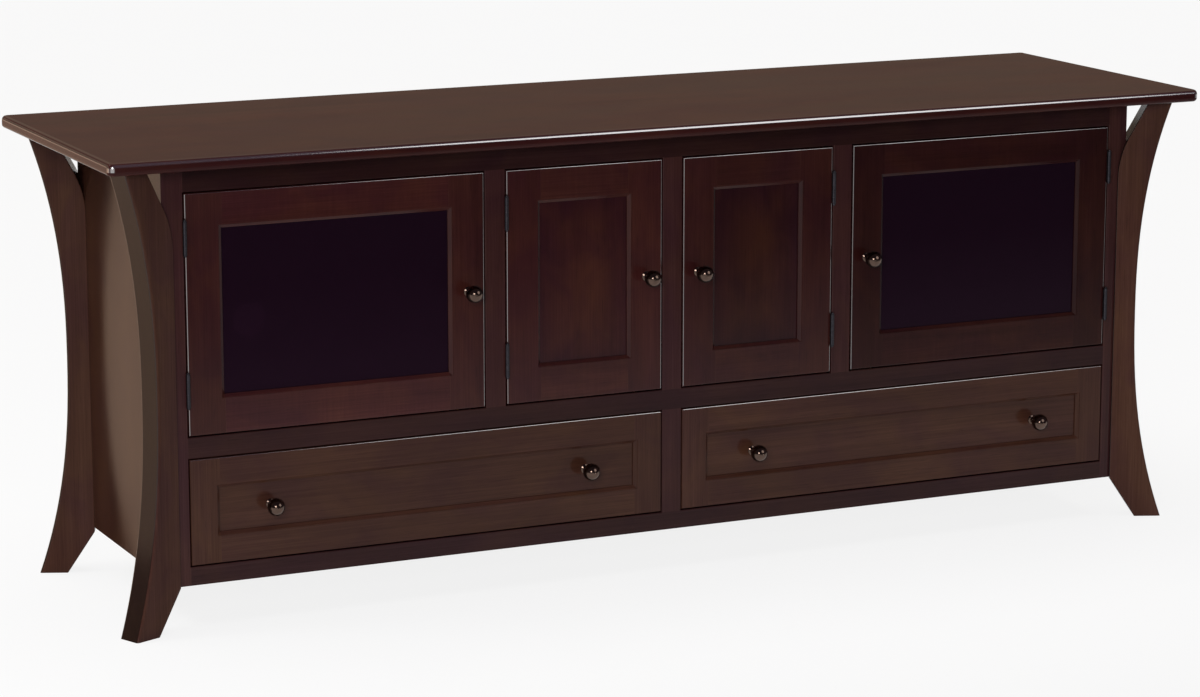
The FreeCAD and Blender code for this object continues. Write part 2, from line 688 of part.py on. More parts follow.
def build():
    """Every node of the stand as a name and its solids."""
    fixed_leaves, pins, moving_leaves, recesses = hinges()
    shelf = shelves()
    nodes = {
        "top_panel": [top_panel()],
        "outer_shelves": [shelf["left"], shelf["right"]],
        "centre_shelf": [shelf["centre"]],
        "hinge_frame_leaves": fixed_leaves,
        "hinge_pins": pins,
        "bullet_catches": bullet_catches(),
        "slide_spacers": slide_spacers(),
    }
    nodes.update({name: [leg] for name, leg in legs().items()})
    nodes.update(case_boards())
    nodes.update(face_frame(recesses))
    for name in DOOR_BAYS:
        nodes.update(door(name, moving_leaves[name], recesses))
    cabinet_members = []
    for name in DRAWER_BAYS:
        made, fixed = drawer(name)
        nodes.update(made)
        cabinet_members += fixed
    nodes["slide_cabinet_members"] = cabinet_members
    return nodes


def main():
    """Writes one file per node."""
    os.makedirs("parts", exist_ok=True)
    nodes = build()
    for name, solids in sorted(nodes.items()):
        shape = solids[0] if len(solids) == 1 else Part.makeCompound(solids)
        shape.exportStep(os.path.join("parts", name + ".step"))
    count = sum(len(shape.Solids) for solids in nodes.values() for shape in solids)
    print(len(nodes), "nodes,", count, "solids")


main()
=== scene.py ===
import math

import bmesh
import bpy
from bpy.props import FloatProperty, FloatVectorProperty, IntProperty, PointerProperty
from mathutils import Matrix, Vector


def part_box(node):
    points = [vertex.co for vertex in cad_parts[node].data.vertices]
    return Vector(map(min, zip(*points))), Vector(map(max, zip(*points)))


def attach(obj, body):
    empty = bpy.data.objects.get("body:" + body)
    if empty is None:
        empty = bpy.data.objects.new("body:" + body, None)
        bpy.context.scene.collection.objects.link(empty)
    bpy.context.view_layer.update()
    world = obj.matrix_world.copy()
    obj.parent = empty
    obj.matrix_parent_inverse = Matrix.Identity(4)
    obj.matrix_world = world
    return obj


bl_info = {
    "name": "Media Stand Dresser",
    "version": (1, 0, 0),
    "blender": (4, 5, 0),
    "location": "3D View > Sidebar > Media Stand",
    "description": "Finishes the boards, glass and hardware of a media stand and sets it in a studio",
    "category": "Object",
}

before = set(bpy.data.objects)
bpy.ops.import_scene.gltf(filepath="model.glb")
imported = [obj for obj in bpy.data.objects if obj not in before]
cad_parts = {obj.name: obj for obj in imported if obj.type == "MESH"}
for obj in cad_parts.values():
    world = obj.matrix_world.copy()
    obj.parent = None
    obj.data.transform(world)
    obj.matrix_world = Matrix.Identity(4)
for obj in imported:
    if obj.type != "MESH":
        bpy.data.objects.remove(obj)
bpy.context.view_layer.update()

GLASS_DOORS = ("glass_door_left", "glass_door_right")
PANEL_DOORS = ("panel_door_left", "panel_door_right")
DOORS = GLASS_DOORS + PANEL_DOORS
DRAWERS = ("drawer_left", "drawer_right")

# Tone of each door's stiles, rails and panel, and their gloss. The tones are painted light and shade, set to
# the light on them in the photo.
DOOR_PAINTED_LIGHT_TONES = {
    "glass_door_left": (0.90, 1.30, None, 0.19),
    "panel_door_left": (1.08, 0.95, 0.96, 0.19),
    "panel_door_right": (0.88, 0.81, 0.72, 0.19),
    "glass_door_right": (0.57, 0.70, None, 0.13),
}

# Tones of the legs and drawers, set in the same way: painted light and shade, lighter or darker as light
# falls on each
LEG_PAINTED_LIGHT_TONES = {"left": 1.3, "right": 1.62}
DRAWER_PAINTED_LIGHT_TONES = {"drawer_left": 1.2, "drawer_right": 1.35}

# Gloss of the lacquer: specular level
TOP_GLOSS = 0.08
LEG_GLOSS = 0.06
CASE_GLOSS = 0.12
INSIDE_GLOSS = 0.2
DRAWER_GLOSS = 0.13

# Narrow faces of the legs: where they begin, how much of the stain shows under their painted shade, and the
# share of clear coat
FLANK_TURN = (0.2, -0.2)
LEG_FLANK_SHADE_AND_COAT = (0.24, 0.68)

# Rounded edges: where a normal leaves the flats, where slopes begin, and the lowest rise that gets a coat
EDGE_TURN = (0.999, 0.985)
EDGE_SLOPE = (0.76, 0.80)
EDGE_FADE = 0.09
SIDEWAYS = -0.12
UPWARD = 0.2
EDGE_COAT_ROUGHNESS = 0.12
EDGE_COAT_IOR = 4.0
FLANK_COAT_ROUGHNESS = 0.15
FLANK_COAT_IOR = 1.5

# Grain of the stained wood: cycles per metre along and across it
FIBRE = (7.0, 430.0)
BANDS = (1.3, 34.0)
CLOUDS = (3.0, 7.0)
PORES = (26.0, 1150.0)
PATCHES = (8.0, 13.0)
RIPPLE = (14.0, 210.0)
FIBRE_SHARE = 0.55

# Grain of the drawer maple
MAPLE_FIBRE = (6.0, 380.0)
MAPLE_BANDS = (1.1, 26.0)
MAPLE_FLECKS = (40.0, 520.0)

# Shift of the grain from board to board, in metres
BOARD_SHIFT = (7.3, 5.1, 9.7)

# Softening of edges in metres, and patches per metre in which they are rubbed
WOOD_ROUNDING = 0.0014
MAPLE_ROUNDING = 0.001
METAL_ROUNDING = 0.0005
WOOD_RUBBING = 24.0
METAL_RUBBING = 160.0

# Marks on the metal and on the glass, in cycles per metre
BRUSHED = (60.0, 2600.0)
TOOLING = 900.0
PATINA = 120.0
GLASS_DUST = 38.0
GLASS_WAVE = 5.0

# Smoked glass: share of light let through, index of refraction, and colour of its reflections
GLASS_CLEARNESS = 0.3
GLASS_IOR = 1.5
GLASS_GLINT = (0.10, 0.06, 0.10)

# Board widths in metres, where the grain turns or the painted shade at the rim of a panel ends
GLASS_STOP = 0.009
DRAWER_FRAME = 0.0485
DRAWER_WALL = 0.013
PARTITION = 0.019
PANEL_SHADE_START = 0.008
PANEL_SHADE_REACH = 0.07

# Hinge leaves in metres: half length, depth, and the rise and depth of the three screws in each
LEAF_HALF = 0.0254
LEAF_DEPTH = 0.018
LEAF_SCREWS = ((-0.0165, 0.0128), (0.0, 0.0072), (0.0165, 0.0128))
DOOR_GAP_HALF = 0.001
LEAF_GAP_HALF = 0.00025

# Screw heads: rise in metres and crown, from flat to domed
HINGE_HEAD = (0.0001, 0.2)
KNOB_HEAD = (0.0024, 1.0)
FRONT_HEAD = (0.0022, 0.8)
BACK_HEAD = (0.0016, 0.9)

# Turn from one screw to the next, in radians
SCREW_TURN = 0.7

# Insets of the screws in the drawer fronts and back boards, in metres
FRONT_SCREW_SIDE = 0.055
FRONT_SCREW_LOW = 0.040
FRONT_SCREW_HIGH = 0.025
BACK_SCREW_SIDE = 0.009
BACK_SCREW_SEAM = 0.006
BACK_SCREW_END = 0.010

# Camera sensor in millimetres
SENSOR_WIDTH = 36.0

# Lamps: width, place and the point that each faces, in metres
LEFT_LAMP = (0.8, (-2.7, 0.3, 3.0), (-0.9, 0.0, 0.4))
KEY_LAMP = (2.0, (-3.6, -6.0, 2.4), (0.0, -0.2, 0.4))
BROW_LAMP = (2.1, (1.65, -2.9, 2.05), (0.1, -0.2, 0.6))
OVERHEAD_SPREAD = math.radians(75)
OVERHEAD_LEAN = (math.radians(-8), math.radians(-10), 0.0)

# Floor: its reach, the zones that reflections see lit, and where painted shade darkens its paint to the
# front, in metres
FLOOR_REACH = 40.0
NEAR_POOL_X = (-2.3, -1.6)
NEAR_POOL_Y = (-2.8, -1.0)
LEFT_POOL = (-0.45, -0.75)
LEFT_POOL_START = 1.65
LEFT_POOL_SLOPE = 0.335
SHEEN_X = (-0.86, -0.96)
SHEEN_Y = (-0.15, 0.2)
FLOOR_SHADE_Y = (-2.2, -0.7)
FLOOR_SHADE = (0.15, 1.0)
GLOW_SHARE = 0.85

# Tints laid over the stain, the dye that varies it, and the painted shade at a panel's rim with painted
# light in its field
WHITE = (1.0, 1.0, 1.0)
PLUM = (0.95, 0.84, 1.28)
WINE = (1.0, 0.64, 0.89)
ROSE = (1.0, 1.08, 1.18)
DYE_DEEP = (0.70, 0.52, 0.92)
DYE_PALE = (1.30, 1.38, 0.98)
RIM_SHADE_TINT = (0.74, 0.58, 0.92)
FIELD_LIGHT_TINT = (1.2, 1.28, 1.0)


class StandFinishes(bpy.types.PropertyGroup):
    """Colours and gloss of the stand's boards, glass and metal."""

    stain_deep: FloatVectorProperty(
        name="Deep stain",
        description="Colour of the darkest streaks in the stained wood",
        subtype="COLOR",
        size=3,
        min=0,
        max=1,
        default=(0.033, 0.0120, 0.0078),
    )
    stain_body: FloatVectorProperty(
        name="Stain",
        description="Main colour of the stained wood",
        subtype="COLOR",
        size=3,
        min=0,
        max=1,
        default=(0.052, 0.0205, 0.0132),
    )
    stain_pale: FloatVectorProperty(
        name="Pale stain",
        description="Colour of the palest streaks and of rubbed edges",
        subtype="COLOR",
        size=3,
        min=0,
        max=1,
        default=(0.076, 0.0330, 0.0215),
    )
    lacquer_roughness: FloatProperty(
        name="Lacquer roughness",
        description="Roughness of the clear coat over the stain",
        subtype="FACTOR",
        min=0,
        max=1,
        default=0.15,
    )
    maple_body: FloatVectorProperty(
        name="Drawer maple",
        description="Main colour of the clear-finished drawer boxes",
        subtype="COLOR",
        size=3,
        min=0,
        max=1,
        default=(0.52, 0.36, 0.21),
    )
    glass_tint: FloatVectorProperty(
        name="Glass tint",
        description="Colour of the smoked door glass",
        subtype="COLOR",
        size=3,
        min=0,
        max=1,
        default=(0.021, 0.0072, 0.0175),
    )
    knob_bronze: FloatVectorProperty(
        name="Knob bronze",
        description="Colour of the dark bronze knobs",
        subtype="COLOR",
        size=3,
        min=0,
        max=1,
        default=(0.088, 0.055, 0.041),
    )
    hinge_pewter: FloatVectorProperty(
        name="Hinge pewter",
        description="Colour of the hinge barrels and leaves",
        subtype="COLOR",
        size=3,
        min=0,
        max=1,
        default=(0.045, 0.043, 0.050),
    )
    slide_zinc: FloatVectorProperty(
        name="Slide zinc",
        description="Colour of the plated drawer slides",
        subtype="COLOR",
        size=3,
        min=0,
        max=1,
        default=(0.56, 0.57, 0.58),
    )
    catch_brass: FloatVectorProperty(
        name="Catch brass",
        description="Colour of the bullet catches",
        subtype="COLOR",
        size=3,
        min=0,
        max=1,
        default=(0.62, 0.43, 0.17),
    )


class StandFasteners(bpy.types.PropertyGroup):
    """Sizes of the screws that hold the hinges, knobs, drawer fronts and back."""

    hinge_screw: FloatProperty(
        name="Hinge screw",
        description="Head diameter of the countersunk hinge screws",
        subtype="DISTANCE",
        unit="LENGTH",
        min=0.003,
        max=0.008,
        default=0.0058,
    )
    knob_screw: FloatProperty(
        name="Knob screw",
        description="Head diameter of the machine screws behind the knobs",
        subtype="DISTANCE",
        unit="LENGTH",
        min=0.006,
        max=0.014,
        default=0.0095,
    )
    front_screw: FloatProperty(
        name="Drawer front screw",
        description="Head diameter of the screws that hold a drawer front to its box",
        subtype="DISTANCE",
        unit="LENGTH",
        min=0.006,
        max=0.014,
        default=0.009,
    )
    back_screw: FloatProperty(
        name="Back screw",
        description="Head diameter of the screws round the back boards",
        subtype="DISTANCE",
        unit="LENGTH",
        min=0.004,
        max=0.012,
        default=0.0075,
    )
    back_screw_pitch: FloatProperty(
        name="Back screw spacing",
        description="Largest distance between two screws along an edge of a back board",
        subtype="DISTANCE",
        unit="LENGTH",
        min=0.05,
        max=0.4,
        default=0.16,
    )
    head_sides: IntProperty(
        name="Head sides",
        description="Number of segments round a screw head",
        min=12,
        max=64,
        default=24,
    )


class StandStudio(bpy.types.PropertyGroup):
    """Camera, lamps and floor of the studio."""

    camera_place: FloatVectorProperty(
        name="Camera place",
        description="Where the camera stands",
        subtype="XYZ",
        unit="LENGTH",
        size=3,
        default=(-2.5926, -5.4666, 1.5885),
    )
    camera_turn: FloatProperty(
        name="Camera turn",
        description="How far the camera turns to the right from looking straight at the front",
        subtype="ANGLE",
        default=0.4389,
    )
    camera_tilt: FloatProperty(
        name="Camera tilt",
        description="How far the camera looks down",
        subtype="ANGLE",
        default=0.2049,
    )
    camera_lens: FloatProperty(
        name="Lens",
        description="Focal length in millimetres on a sensor 36 mm wide",
        min=10,
        max=400,
        default=110.2,
    )
    overhead_strength: FloatProperty(
        name="Overhead light",
        description="Strength of the wide soft light from above",
        min=0,
        default=2.0,
    )
    left_power: FloatProperty(
        name="Left lamp",
        description="Power of the high lamp on the left, which lights the side",
        unit="POWER",
        min=0,
        default=20,
    )
    key_power: FloatProperty(
        name="Key lamp",
        description="Power of the wide lamp at the left front, which lights the fronts and the legs",
        unit="POWER",
        min=0,
        default=145,
    )
    brow_power: FloatProperty(
        name="Brow lamp",
        description="Power of the lamp at the right front, which draws lines along the upper edges",
        unit="POWER",
        min=0,
        default=22,
    )
    room_back: FloatVectorProperty(
        name="Room behind",
        description="Colour of the dim room behind the stand",
        subtype="COLOR",
        size=3,
        min=0,
        max=1,
        default=(0.162, 0.125, 0.093),
    )
    room_front: FloatVectorProperty(
        name="Room in front",
        description="Colour of the dim room in front of the stand",
        subtype="COLOR",
        size=3,
        min=0,
        max=1,
        default=(0.075, 0.062, 0.084),
    )
    floor_grey: FloatProperty(
        name="Floor",
        description="Brightness of the pale floor",
        subtype="FACTOR",
        min=0,
        max=1,
        default=0.86,
    )
    floor_sheen: FloatVectorProperty(
        name="Floor sheen",
        description="Colour of the floor at the left in reflections, which shows as sheen on the side",
        subtype="COLOR",
        size=3,
        min=0,
        max=1,
        default=(0.86, 0.60, 0.44),
    )


# Material building


def put(tree, kind, feeds=None, **settings):
    """Adds a node, sets its options, and feeds its sockets with values or with other sockets."""
    made = tree.nodes.new(kind)
    for key, value in settings.items():
        setattr(made, key, value)
    for socket, value in (feeds or {}).items():
        if isinstance(value, bpy.types.NodeSocket):
            tree.links.new(value, made.inputs[socket])
        else:
            made.inputs[socket].default_value = value
    return made


def new_finish(name):
    """An empty material with a shader at its end: (material, tree, shader)."""
    material = bpy.data.materials.new(name)
    material.use_nodes = True
    tree = material.node_tree
    tree.nodes.clear()
    shader = put(tree, "ShaderNodeBsdfPrincipled")
    put(tree, "ShaderNodeOutputMaterial", {"Surface": shader.outputs[0]})
    return material, tree, shader


def rgba(colour, factor=1.0):
    """A colour property as four numbers, made lighter or darker."""
    return (colour[0] * factor, colour[1] * factor, colour[2] * factor, 1.0)


def math_node(tree, operation, a, b=0.0, clamp=False):
    """Result of one sum on two numbers or sockets."""
    return put(tree, "ShaderNodeMath", {0: a, 1: b}, operation=operation, use_clamp=clamp).outputs[0]


def mix_colour(tree, factor, a, b, blend="MIX"):
    """Blend of two colours, which go in and out at the node's colour sockets."""
    feeds = {0: factor, 6: a, 7: b}
    return put(tree, "ShaderNodeMix", feeds, data_type="RGBA", blend_type=blend).outputs[2]


def mix_vector(tree, factor, a, b):
    """Blend of two vectors, which go in and out at the node's vector sockets."""
    return put(tree, "ShaderNodeMix", {0: factor, 4: a, 5: b}, data_type="VECTOR").outputs[1]


def noise(tree, vector, detail=2.0, rough=0.5, distortion=0.0, scale=1.0):
    """Value of a noise at a vector."""
    feeds = {
        "Vector": vector, "Scale": scale, "Detail": detail, "Roughness": rough, "Distortion": distortion,
    }
    return put(tree, "ShaderNodeTexNoise", feeds).outputs[0]


def spread(tree, value, low, high, to_low=0.0, to_high=1.0):
    """A value carried from one range to another, held at the ends."""
    feeds = {"Value": value, "From Min": low, "From Max": high, "To Min": to_low, "To Max": to_high}
    return put(tree, "ShaderNodeMapRange", feeds, clamp=True).outputs[0]


def board_place(tree):
    """Place on the board in metres, shifted by a different amount on every board."""
    place = put(tree, "ShaderNodeTexCoord").outputs["Object"]
    random = put(tree, "ShaderNodeObjectInfo").outputs["Random"]
    shift = put(tree, "ShaderNodeVectorMath", {0: random, 1: BOARD_SHIFT}, operation="MULTIPLY")
    moved = put(tree, "ShaderNodeVectorMath", {0: place, 1: shift.outputs[0]}, operation="ADD")
    return place, moved.outputs[0], random


def stretched(tree, place, along, cycles_along, cycles_across):
    """Place scaled so that a noise runs in long streaks along the grain."""
    scale = tuple(cycles_along if axis == along else cycles_across for axis in "XYZ")
    return put(tree, "ShaderNodeVectorMath", {0: place, 1: scale}, operation="MULTIPLY").outputs[0]


def end_mask(tree, place, box, inset):
    """1 within inset of a piece's left and right ends, 0 between them."""
    low, high = box
    x = put(tree, "ShaderNodeSeparateXYZ", {0: place}).outputs[0]
    from_middle = math_node(tree, "ABSOLUTE", math_node(tree, "SUBTRACT", x, (low.x + high.x) / 2))
    return math_node(tree, "GREATER_THAN", from_middle, (high.x - low.x) / 2 - inset)


def grain_vectors(tree, place, moved, along, ends):
    """A function that gives the stretched place, with another direction at a piece's ends if it has one."""
    if ends is None:
        return lambda cycles_along, cycles_across: stretched(tree, moved, along, cycles_along, cycles_across)
    end_along, box, inset = ends
    mask = end_mask(tree, place, box, inset)

    def both(cycles_along, cycles_across):
        middle = stretched(tree, moved, along, cycles_along, cycles_across)
        end = stretched(tree, moved, end_along, cycles_along, cycles_across)
        return mix_vector(tree, mask, middle, end)

    return both


def rounded_normal(tree, radius):
    """Normal softened over a small distance from the edges."""
    return put(tree, "ShaderNodeBevel", {"Radius": radius}, samples=4).outputs[0]


def edge_wear(tree, normal, place, reach):
    """Uneven mask of rubbed edges: 0 on the flats, up to 1 along the edges."""
    flat = put(tree, "ShaderNodeNewGeometry").outputs["Normal"]
    dot = put(tree, "ShaderNodeVectorMath", {0: normal, 1: flat}, operation="DOT_PRODUCT").outputs["Value"]
    edge = spread(tree, dot, 0.995, 0.80)
    patches = spread(tree, noise(tree, place, 3.0, 0.6, scale=reach), 0.38, 0.70)
    return math_node(tree, "MULTIPLY", edge, patches)


def facing(tree):
    """Direction of a face on its board, and the sizes of its three parts: (normal, x, y, z)."""
    normal = put(tree, "ShaderNodeTexCoord").outputs["Normal"]
    size = put(tree, "ShaderNodeVectorMath", {0: normal}, operation="ABSOLUTE").outputs[0]
    x, y, z = put(tree, "ShaderNodeSeparateXYZ", {0: size}).outputs
    return normal, x, y, z


def lifted_edges(tree, lowest):
    """1 on rounded edges that face higher than lowest, 0 on flats, on slopes and on other edges."""
    normal, x, y, z = facing(tree)
    largest = math_node(tree, "MAXIMUM", math_node(tree, "MAXIMUM", x, y), z)
    rise = put(tree, "ShaderNodeSeparateXYZ", {0: normal}).outputs[2]
    off_flats = spread(tree, largest, *EDGE_TURN)
    turned = math_node(tree, "MULTIPLY", off_flats, spread(tree, largest, *EDGE_SLOPE))
    return math_node(tree, "MULTIPLY", turned, spread(tree, rise, lowest, lowest + EDGE_FADE))


def narrow_face_mask(tree):
    """1 on the narrow faces of a board that stands across the front, 0 on its wide faces."""
    _, x, y, _ = facing(tree)
    return spread(tree, math_node(tree, "SUBTRACT", y, x), *FLANK_TURN)


def rim_shade(tree, place, box, reach):
    """Mask of painted shade: 0 at the four sides of a panel's face, 1 further in than reach."""
    low, high = box
    x, _, z = put(tree, "ShaderNodeSeparateXYZ", {0: place}).outputs
    inside = []
    for across, start, stop in ((x, low.x, high.x), (z, low.z, high.z)):
        from_middle = math_node(tree, "ABSOLUTE", math_node(tree, "SUBTRACT", across, (start + stop) / 2))
        inside.append(math_node(tree, "SUBTRACT", (stop - start) / 2, from_middle))
    return spread(tree, math_node(tree, "MINIMUM", *inside), PANEL_SHADE_START, reach)


def stain_streaks(tree, fibre, grain, moved, along, curl):
    """Lightness of the stain in fibres and bands and, where the wood curls, in ripples across the grain."""
    bands = noise(tree, grain(*BANDS), 3.0, 0.55, 0.5)
    fine = math_node(tree, "MULTIPLY", fibre, FIBRE_SHARE)
    streaks = math_node(tree, "ADD", fine, math_node(tree, "MULTIPLY", bands, 1 - FIBRE_SHARE))
    if curl:
        across = next(axis for axis in "XYZ" if axis not in (along, "Y"))
        ripple = noise(tree, stretched(tree, moved, across, *RIPPLE), 2.0, 0.5, 0.2)
        lift = math_node(tree, "MULTIPLY", math_node(tree, "SUBTRACT", ripple, 0.5), curl)
        streaks = math_node(tree, "ADD", streaks, lift)
    return streaks


def stain_colour(tree, finishes, value, tone):
    """Colour of the stain, from its deep streaks to its pale ones."""
    ramp = put(tree, "ShaderNodeValToRGB", {0: value})
    stops = ramp.color_ramp.elements
    stops[0].position, stops[0].color = 0.22, rgba(finishes.stain_deep, tone)
    stops[1].position, stops[1].color = 0.78, rgba(finishes.stain_pale, tone)
    stops.new(0.5).color = rgba(finishes.stain_body, tone)
    return ramp.outputs[0]


def clear_coat(tree, shader, weight, roughness, ior):
    """Lays a clear coat over a finish where weight is above 0."""
    tree.links.new(weight, shader.inputs["Coat Weight"])
    shader.inputs["Coat Roughness"].default_value = roughness
    shader.inputs["Coat IOR"].default_value = ior


def stained_wood(
    name, finishes, along, gloss, tone=1.0, tint=WHITE, curl=0.0, ends=None, mottle=0.35,
    edge=0.0, lowest=SIDEWAYS, rim=None, flank=None,
):
    """Dark stain on close-grained wood under a clear coat, with its grain along one axis."""
    material, tree, shader = new_finish(name)
    place, moved, random = board_place(tree)
    grain = grain_vectors(tree, place, moved, along, ends)
    fibre = noise(tree, grain(*FIBRE), 4.0, 0.62)
    clouds = noise(tree, grain(*CLOUDS), 2.0, 0.5, 0.3)
    streaks = stain_streaks(tree, fibre, grain, moved, along, curl)
    tone_shift = spread(tree, random, 0.0, 1.0, -0.03, 0.03)
    cloud_shift = spread(tree, clouds, 0.3, 0.7, -0.07, 0.07)
    value = math_node(tree, "ADD", math_node(tree, "ADD", streaks, tone_shift), cloud_shift)
    colour = stain_colour(tree, finishes, value, tone)
    colour = mix_colour(tree, 1.0, colour, rgba(tint), "MULTIPLY")
    patches = spread(tree, noise(tree, grain(*PATCHES), 3.0, 0.55, 0.6), 0.36, 0.64)
    dye = mix_colour(tree, patches, rgba(DYE_DEEP), rgba(DYE_PALE))
    colour = mix_colour(tree, mottle, colour, dye, "MULTIPLY")
    # Painted shade: the panel is darker at its rim next to the frame and lighter in its field
    if rim:
        rim_shading = mix_colour(tree, rim_shade(tree, place, *rim), rgba(RIM_SHADE_TINT), rgba(FIELD_LIGHT_TINT))
        colour = mix_colour(tree, 1.0, colour, rim_shading, "MULTIPLY")
    pores = spread(tree, noise(tree, grain(*PORES), 1.0, 0.5), 0.66, 0.74, 0.0, 0.5)
    colour = mix_colour(tree, pores, colour, rgba(finishes.stain_deep, tone * 0.5))
    soft = rounded_normal(tree, WOOD_ROUNDING)
    wear = math_node(tree, "MULTIPLY", edge_wear(tree, soft, place, WOOD_RUBBING), 0.5)
    colour = mix_colour(tree, wear, colour, rgba(finishes.stain_pale, tone * 1.35))
    if flank:
        flank_shade, sheen = flank
        narrow = narrow_face_mask(tree)
        # Painted shade: the narrow faces are darkened as if turned from the light; the coat below is real
        # gloss
        colour = mix_colour(tree, narrow, colour, rgba(WHITE, flank_shade), "MULTIPLY")
        weight = math_node(tree, "MULTIPLY", narrow, sheen)
        clear_coat(tree, shader, weight, FLANK_COAT_ROUGHNESS, FLANK_COAT_IOR)
    if edge:
        weight = math_node(tree, "MULTIPLY", lifted_edges(tree, lowest), edge)
        clear_coat(tree, shader, weight, EDGE_COAT_ROUGHNESS, EDGE_COAT_IOR)
    tree.links.new(colour, shader.inputs["Base Color"])
    rough = finishes.lacquer_roughness
    tree.links.new(spread(tree, clouds, 0.25, 0.75, rough - 0.04, rough + 0.05), shader.inputs["Roughness"])
    height = math_node(tree, "SUBTRACT", math_node(tree, "MULTIPLY", fibre, 0.5), pores)
    bump = put(tree, "ShaderNodeBump", {"Height": height, "Strength": 0.12, "Distance": 0.0004})
    tree.links.new(bump.outputs[0], shader.inputs["Normal"])
    shader.inputs["Specular IOR Level"].default_value = gloss
    return material


def clear_maple(name, finishes, along, ends):
    """Pale wood under a clear finish, for the drawer boxes."""
    material, tree, shader = new_finish(name)
    place, moved, _ = board_place(tree)
    grain = grain_vectors(tree, place, moved, along, ends)
    fibre = noise(tree, grain(*MAPLE_FIBRE), 4.0, 0.6)
    bands = noise(tree, grain(*MAPLE_BANDS), 3.0, 0.55, 0.8)
    fine = math_node(tree, "MULTIPLY", fibre, 0.4)
    value = math_node(tree, "ADD", fine, math_node(tree, "MULTIPLY", bands, 0.6))
    ramp = put(tree, "ShaderNodeValToRGB", {0: value})
    stops = ramp.color_ramp.elements
    stops[0].position, stops[0].color = 0.25, rgba(finishes.maple_body, 0.74)
    stops[1].position, stops[1].color = 0.75, rgba(finishes.maple_body, 1.18)
    flecks = spread(tree, noise(tree, grain(*MAPLE_FLECKS), 1.0), 0.67, 0.75, 0.0, 0.35)
    colour = mix_colour(tree, flecks, ramp.outputs[0], rgba(finishes.maple_body, 0.5))
    soft = rounded_normal(tree, MAPLE_ROUNDING)
    tree.links.new(colour, shader.inputs["Base Color"])
    tree.links.new(spread(tree, bands, 0.3, 0.7, 0.42, 0.52), shader.inputs["Roughness"])
    feeds = {"Height": fibre, "Normal": soft, "Strength": 0.1, "Distance": 0.0004}
    bump = put(tree, "ShaderNodeBump", feeds)
    tree.links.new(bump.outputs[0], shader.inputs["Normal"])
    shader.inputs["Specular IOR Level"].default_value = 0.4
    return material


def smoked_glass(name, finishes):
    """Dark tinted pane with a faint unevenness and a trace of dust."""
    material, tree, shader = new_finish(name)
    _, moved, _ = board_place(tree)
    dust = noise(tree, moved, 4.0, 0.65, scale=GLASS_DUST)
    clean = rgba(finishes.glass_tint)
    dusty = rgba(finishes.glass_tint, 0.9)
    tint = mix_colour(tree, spread(tree, dust, 0.3, 0.8), clean, dusty)
    tree.links.new(tint, shader.inputs["Base Color"])
    tree.links.new(spread(tree, dust, 0.35, 0.8, 0.0, 0.035), shader.inputs["Roughness"])
    wave = noise(tree, moved, 1.0, scale=GLASS_WAVE)
    bump = put(tree, "ShaderNodeBump", {"Height": wave, "Strength": 0.02, "Distance": 0.002})
    tree.links.new(bump.outputs[0], shader.inputs["Normal"])
    shader.inputs["Transmission Weight"].default_value = GLASS_CLEARNESS
    shader.inputs["IOR"].default_value = GLASS_IOR
    shader.inputs["Specular Tint"].default_value = rgba(GLASS_GLINT)
    return material


def worked_metal(name, colour, rough, worn, brushed=None, coat=0.0):
    """Metal with fine tooling marks, uneven polish and edges rubbed to a paler tone."""
    material, tree, shader = new_finish(name)
    place, moved, _ = board_place(tree)
    if brushed:
        marks = noise(tree, stretched(tree, moved, brushed, *BRUSHED), 2.0, 0.6)
    else:
        marks = noise(tree, moved, 4.0, 0.6, scale=TOOLING)
    patina = noise(tree, moved, 4.0, 0.6, 0.3, scale=PATINA)
    base = mix_colour(tree, spread(tree, patina, 0.3, 0.72), rgba(colour, 0.8), rgba(colour, 1.2))
    soft = rounded_normal(tree, METAL_ROUNDING)
    wear = math_node(tree, "MULTIPLY", edge_wear(tree, soft, place, METAL_RUBBING), worn)
    base = mix_colour(tree, wear, base, rgba([0.25 + 0.75 * part for part in colour]))
    tree.links.new(base, shader.inputs["Base Color"])
    tree.links.new(spread(tree, patina, 0.25, 0.8, rough * 0.75, rough * 1.35), shader.inputs["Roughness"])
    feeds = {"Height": marks, "Normal": soft, "Strength": 0.06, "Distance": 0.0002}
    bump = put(tree, "ShaderNodeBump", feeds)
    tree.links.new(bump.outputs[0], shader.inputs["Normal"])
    shader.inputs["Metallic"].default_value = 1.0
    shader.inputs["Coat Weight"].default_value = coat
    shader.inputs["Coat Roughness"].default_value = 0.06
    return material


def give(material, *nodes):
    """Puts a finish on nodes of the stand."""
    for name in nodes:
        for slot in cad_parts[name].material_slots:
            slot.link = "OBJECT"
            slot.material = material


# Screws


